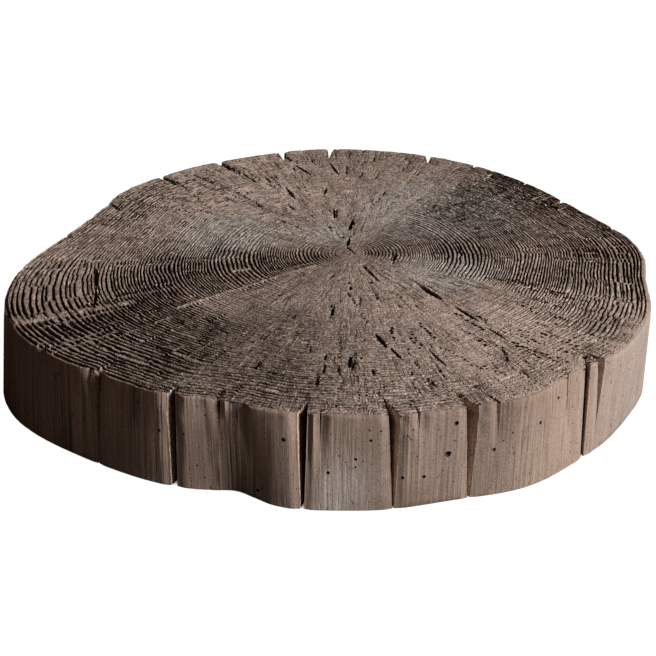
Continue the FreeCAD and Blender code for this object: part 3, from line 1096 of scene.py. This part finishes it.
def store_depths(mesh):
    """Keeps at each point its ring, its depth in mm below the unsplit cast and what the finishes need."""
    points = np.empty(len(mesh.vertices) * 3)
    mesh.vertices.foreach_get("co", points)
    points = points.reshape(-1, 3)
    outward = points[:, :2] - PITH
    reach = np.hypot(outward[:, 0], outward[:, 1])
    turn = np.arctan2(outward[:, 1], outward[:, 0]) / (2 * math.pi) * COLUMNS
    column = np.round(turn).astype(int) % COLUMNS
    over_tread = {
        "ring": loop_ring,
        "grooved": groove_depth / FULL_GROOVE,
        "opened": groove_width,
        "broken": groove_broken,
        "ridge": TREAD_HEIGHT - SKIN - level,
    }
    found = {name: np.zeros(len(points)) for name in over_tread}
    hull = np.zeros(len(points))
    for each in range(COLUMNS):
        here = column == each
        for name, values in over_tread.items():
            found[name][here] = np.interp(reach[here], loop_reach[:, each], values[:, each])
        hull[here] = np.interp(points[here, 2], HULL_HEIGHTS, hull_rows[:, each])
    share = np.interp(found["ring"], np.arange(RING_COUNT + 1), ring_edge)
    degrees = turn * 360 / COLUMNS

    def zone(first, last, start):
        """1 in a sector of the tread beyond a share of the way to the rim, and 0 elsewhere."""
        return between_bearings(degrees, first, last) * ease(start - 0.1, start + 0.1, share)

    layers = {
        "ring": found["ring"],
        "hollow": np.clip(np.minimum(found["ridge"] - points[:, 2], hull - reach), 0, None) / MM,
        "grooved": np.clip(found["grooved"], 0, 1),
        "opened": found["opened"],
        "broken": found["broken"],
        "pitted": np.maximum.reduce([zone(*row) for row in PITTED]),
        "fine": zone(*FINE_FRONT),
        "rough": zone(*ROUGH_BACK),
    }
    for name, values in layers.items():
        layer = mesh.attributes.new(name, "FLOAT", "POINT")
        layer.data.foreach_set("value", values)


sharp_edges(finished)
store_depths(finished)
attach(slab, "root")
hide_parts(STONE)

# Floor, light and camera
AIM = Vector((-0.2, -32.8, 30)) * MM
CAMERA_DISTANCE = 1305.6 * MM
CAMERA_ELEVATION = 25.5
SENSOR_WIDTH = 36
LENS = 114.1
FLOOR_REACH = 6
AMBIENT_COLOUR = (1.0, 0.6, 0.42, 1)
AMBIENT_STRENGTH = 0.075
FRONT = -90

scene = bpy.context.scene
scene.view_settings.view_transform = "Standard"

floor_mesh = bpy.data.meshes.new("floor")
corners = ((-1, -1, 0), (1, -1, 0), (1, 1, 0), (-1, 1, 0))
floor_mesh.from_pydata([Vector(corner) * FLOOR_REACH for corner in corners], [], [(0, 1, 2, 3)])
floor = new_object("floor", floor_mesh)
floor.location.z = -0.05 * MM


def seen_white(paint):
    """1 for a ray from the camera, and for one that a surface mirrors or lets through."""
    kinds = ("Camera", "Glossy", "Transmission")
    paths = [paint.node("ShaderNodeLightPath", {}, {}, f"Is {kind} Ray") for kind in kinds]
    return paths[0].greater(paths[1]).greater(paths[2])


def pale_floor():
    """Grey in the light that it gives back, and white to the camera but for a thin shadow at the stone."""
    material = bpy.data.materials.new("pale_floor")
    material.use_nodes = True
    tree = material.node_tree
    tree.nodes.clear()
    floor_paint = Paint(tree)
    seen = seen_white(floor_paint)
    dull = floor_paint.node("ShaderNodeBsdfDiffuse", {}, {"Color": (0.12, 0.12, 0.12, 1)})
    open_air = floor_paint.node("ShaderNodeAmbientOcclusion", {"samples": 8}, {"Distance": 6 * MM}, "AO")
    white = floor_paint.node("ShaderNodeEmission", {}, {"Strength": seen * open_air.rise(0.05, 0.5)})
    shown = floor_paint.node("ShaderNodeAddShader", {}, {0: dull, 1: white})
    out = tree.nodes.new("ShaderNodeOutputMaterial")
    tree.links.new(shown.socket, out.inputs["Surface"])
    return material


floor_mesh.materials.append(pale_floor())

world = bpy.data.worlds.new("studio")
scene.world = world
world.use_nodes = True
sky = Paint(world.node_tree)
seen = seen_white(sky)
background = world.node_tree.nodes["Background"]
strength = seen * (1 - AMBIENT_STRENGTH) + AMBIENT_STRENGTH
colour = seen.mixed(AMBIENT_COLOUR, (1, 1, 1, 1))
world.node_tree.links.new(strength.socket, background.inputs["Strength"])
world.node_tree.links.new(colour.socket, background.inputs["Color"])


def towards(bearing, elevation):
    """The direction at a bearing and a height above the horizon, in degrees."""
    turn, lift = math.radians(bearing), math.radians(elevation)
    return Vector((math.cos(turn) * math.cos(lift), math.sin(turn) * math.cos(lift), math.sin(lift)))


def look_back(made, target, direction, distance):
    """Moves an object to a distance from a target in a direction, and turns it to the target."""
    made.location = target + direction * distance
    made.rotation_euler = (-direction).to_track_quat("-Z", "Y").to_euler()


key = bpy.data.lights.new("key", "AREA")
key.shape = "DISK"
key.size = 0.8
key.energy = 80
look_back(new_object("key", key), Vector((0, 0, 0)), towards(-33.5, 26), 2.4)

camera = new_object("camera", bpy.data.cameras.new("camera"))
camera.data.sensor_width = SENSOR_WIDTH
camera.data.lens = LENS
look_back(camera, AIM, towards(FRONT, CAMERA_ELEVATION), CAMERA_DISTANCE)
scene.camera = camera
